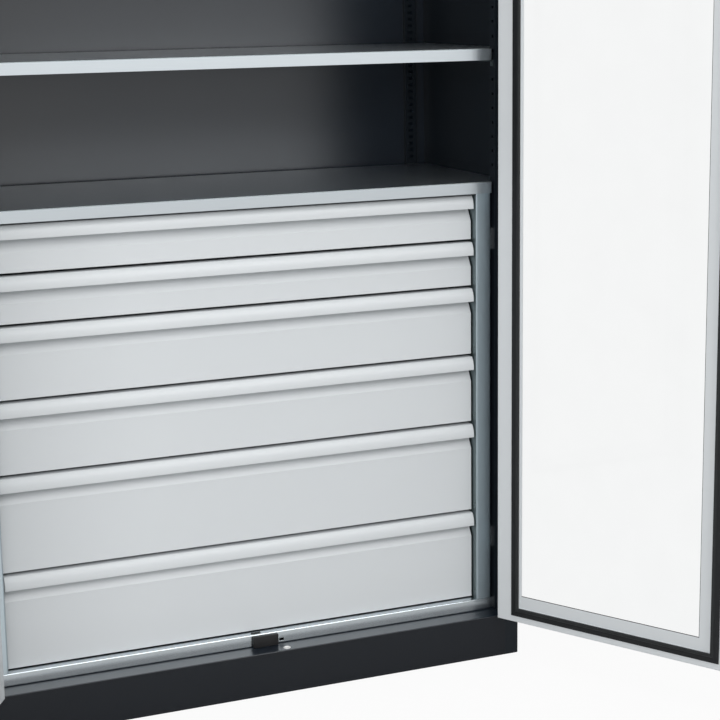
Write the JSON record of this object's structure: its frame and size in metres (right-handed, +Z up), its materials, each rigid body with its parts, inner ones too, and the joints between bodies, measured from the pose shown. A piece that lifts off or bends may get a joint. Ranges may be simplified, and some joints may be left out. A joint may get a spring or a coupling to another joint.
{
  "type": "heavy-duty cabinet",
  "caption": "Tall steel cabinet with inset vision-panel doors, shelves above and a stack of telescopic drawers with full-width grips below.",
  "frame": {"origin": "middle of the cabinet's footprint, on the floor under the middle bearer", "axes": "+X to the cabinet's right as seen from the front, +Y to the back wall, +Z up"},
  "size_m": [1.7245, 1.0037, 1.95],
  "materials": {
    "anthracite_powder_coat": "fine satin powder coat",
    "light_grey_powder_coat": "satin powder coat",
    "zinc_plated_steel": "galvanised, blurred reflections",
    "black_plastic": "moulded",
    "white_plastic": "moulded",
    "black_rubber": "extruded seal",
    "clear_pane": "clear"
  },
  "bodies": {
    "carcass": {"side_panel_left": "anthracite_powder_coat", "side_panel_right": "anthracite_powder_coat", "back_panel": "anthracite_powder_coat", "roof_panel": "anthracite_powder_coat", "base_tray": "anthracite_powder_coat", "base_bearers": "anthracite_powder_coat", "front_uprights": "anthracite_powder_coat", "rear_uprights": "anthracite_powder_coat", "shelf_lower": "zinc_plated_steel", "shelf_upper": "zinc_plated_steel", "shelf_hooks": "zinc_plated_steel", "cover_shelf": "zinc_plated_steel", "housing_side_left": "zinc_plated_steel", "housing_side_right": "zinc_plated_steel", "housing_rail": "zinc_plated_steel", "housing_brackets": "zinc_plated_steel", "cabinet_rails": "zinc_plated_steel", "door_catch_block": "black_plastic", "lock_bushes": "white_plastic", "frame_knuckles": "zinc_plated_steel"},
    "drawer_1": {"drawer_1_front": "light_grey_powder_coat", "drawer_1_grip": "light_grey_powder_coat", "drawer_1_tray": "light_grey_powder_coat"},
    "slide_1": {"middle_rails_1": "zinc_plated_steel"},
    "drawer_2": {"drawer_2_front": "light_grey_powder_coat", "drawer_2_grip": "light_grey_powder_coat", "drawer_2_tray": "light_grey_powder_coat"},
    "slide_2": {"middle_rails_2": "zinc_plated_steel"},
    "drawer_3": {"drawer_3_front": "light_grey_powder_coat", "drawer_3_grip": "light_grey_powder_coat", "drawer_3_tray": "light_grey_powder_coat"},
    "slide_3": {"middle_rails_3": "zinc_plated_steel"},
    "drawer_4": {"drawer_4_front": "light_grey_powder_coat", "drawer_4_grip": "light_grey_powder_coat", "drawer_4_tray": "light_grey_powder_coat"},
    "slide_4": {"middle_rails_4": "zinc_plated_steel"},
    "drawer_5": {"drawer_5_front": "light_grey_powder_coat", "drawer_5_grip": "light_grey_powder_coat", "drawer_5_tray": "light_grey_powder_coat"},
    "slide_5": {"middle_rails_5": "zinc_plated_steel"},
    "drawer_6": {"drawer_6_front": "light_grey_powder_coat", "drawer_6_grip": "light_grey_powder_coat", "drawer_6_tray": "light_grey_powder_coat"},
    "slide_6": {"middle_rails_6": "zinc_plated_steel"},
    "door_left": {"door_left_shell": "light_grey_powder_coat", "door_left_inner_frame": "light_grey_powder_coat", "door_left_pane": "clear_pane", "door_left_seal": "black_rubber", "door_left_knuckles": "zinc_plated_steel"},
    "door_right": {"door_right_shell": "light_grey_powder_coat", "door_right_inner_frame": "light_grey_powder_coat", "door_right_pane": "clear_pane", "door_right_seal": "black_rubber", "door_right_knuckles": "zinc_plated_steel", "lock_case": "black_plastic", "handle_rosette": "black_plastic", "rod_guides": "black_plastic"},
    "handle": {"turning_handle": "black_plastic"},
    "rod_upper": {"lock_rod_upper": "zinc_plated_steel"},
    "rod_lower": {"lock_rod_lower": "zinc_plated_steel"}
  },
  "joints": [
    {"name": "drawer_1_slide", "type": "slide", "parent": "carcass", "child": "drawer_1", "axis": [0, -1, 0], "range_m": [0, 0.37]},
    {"name": "middle_rails_1_slide", "type": "slide", "parent": "carcass", "child": "slide_1", "axis": [0, -1, 0], "range_m": [0, 0.185]},
    {"name": "drawer_2_slide", "type": "slide", "parent": "carcass", "child": "drawer_2", "axis": [0, -1, 0], "range_m": [0, 0.37]},
    {"name": "middle_rails_2_slide", "type": "slide", "parent": "carcass", "child": "slide_2", "axis": [0, -1, 0], "range_m": [0, 0.185]},
    {"name": "drawer_3_slide", "type": "slide", "parent": "carcass", "child": "drawer_3", "axis": [0, -1, 0], "range_m": [0, 0.37]},
    {"name": "middle_rails_3_slide", "type": "slide", "parent": "carcass", "child": "slide_3", "axis": [0, -1, 0], "range_m": [0, 0.185]},
    {"name": "drawer_4_slide", "type": "slide", "parent": "carcass", "child": "drawer_4", "axis": [0, -1, 0], "range_m": [0, 0.37]},
    {"name": "middle_rails_4_slide", "type": "slide", "parent": "carcass", "child": "slide_4", "axis": [0, -1, 0], "range_m": [0, 0.185]},
    {"name": "drawer_5_slide", "type": "slide", "parent": "carcass", "child": "drawer_5", "axis": [0, -1, 0], "range_m": [0, 0.37]},
    {"name": "middle_rails_5_slide", "type": "slide", "parent": "carcass", "child": "slide_5", "axis": [0, -1, 0], "range_m": [0, 0.185]},
    {"name": "drawer_6_slide", "type": "slide", "parent": "carcass", "child": "drawer_6", "axis": [0, -1, 0], "range_m": [0, 0.37]},
    {"name": "middle_rails_6_slide", "type": "slide", "parent": "carcass", "child": "slide_6", "axis": [0, -1, 0], "range_m": [0, 0.185]},
    {"name": "door_left_hinge", "type": "hinge", "parent": "carcass", "child": "door_left", "pos_m": [-0.56575, -0.25, 1.004], "axis": [0, 0, -1], "range_deg": [-120, 0]},
    {"name": "door_right_hinge", "type": "hinge", "parent": "carcass", "child": "door_right", "pos_m": [0.56575, -0.25, 1.004], "axis": [0, 0, 1], "range_deg": [-120, 0]},
    {"name": "handle_turn", "type": "hinge", "parent": "door_right", "child": "handle", "pos_m": [0.82563, -0.70012, 1.004], "axis": [-0.866, -0.5, 0], "range_deg": [-90, 0]},
    {"name": "rod_upper_slide", "type": "slide", "parent": "door_right", "child": "rod_upper", "axis": [0, 0, -1], "range_m": [-0.018, 0]},
    {"name": "rod_lower_slide", "type": "slide", "parent": "door_right", "child": "rod_lower", "axis": [0, 0, 1], "range_m": [-0.018, 0]}
  ],
  "couplings": [
    {"joint": "middle_rails_1_slide", "follows": "drawer_1_slide", "ratio": 0.5},
    {"joint": "middle_rails_2_slide", "follows": "drawer_2_slide", "ratio": 0.5},
    {"joint": "middle_rails_3_slide", "follows": "drawer_3_slide", "ratio": 0.5},
    {"joint": "middle_rails_4_slide", "follows": "drawer_4_slide", "ratio": 0.5},
    {"joint": "middle_rails_5_slide", "follows": "drawer_5_slide", "ratio": 0.5},
    {"joint": "middle_rails_6_slide", "follows": "drawer_6_slide", "ratio": 0.5},
    {"joint": "rod_upper_slide", "follows": "handle_turn", "m_per_rad": 0.011459},
    {"joint": "rod_lower_slide", "follows": "handle_turn", "m_per_rad": 0.011459}
  ]
}
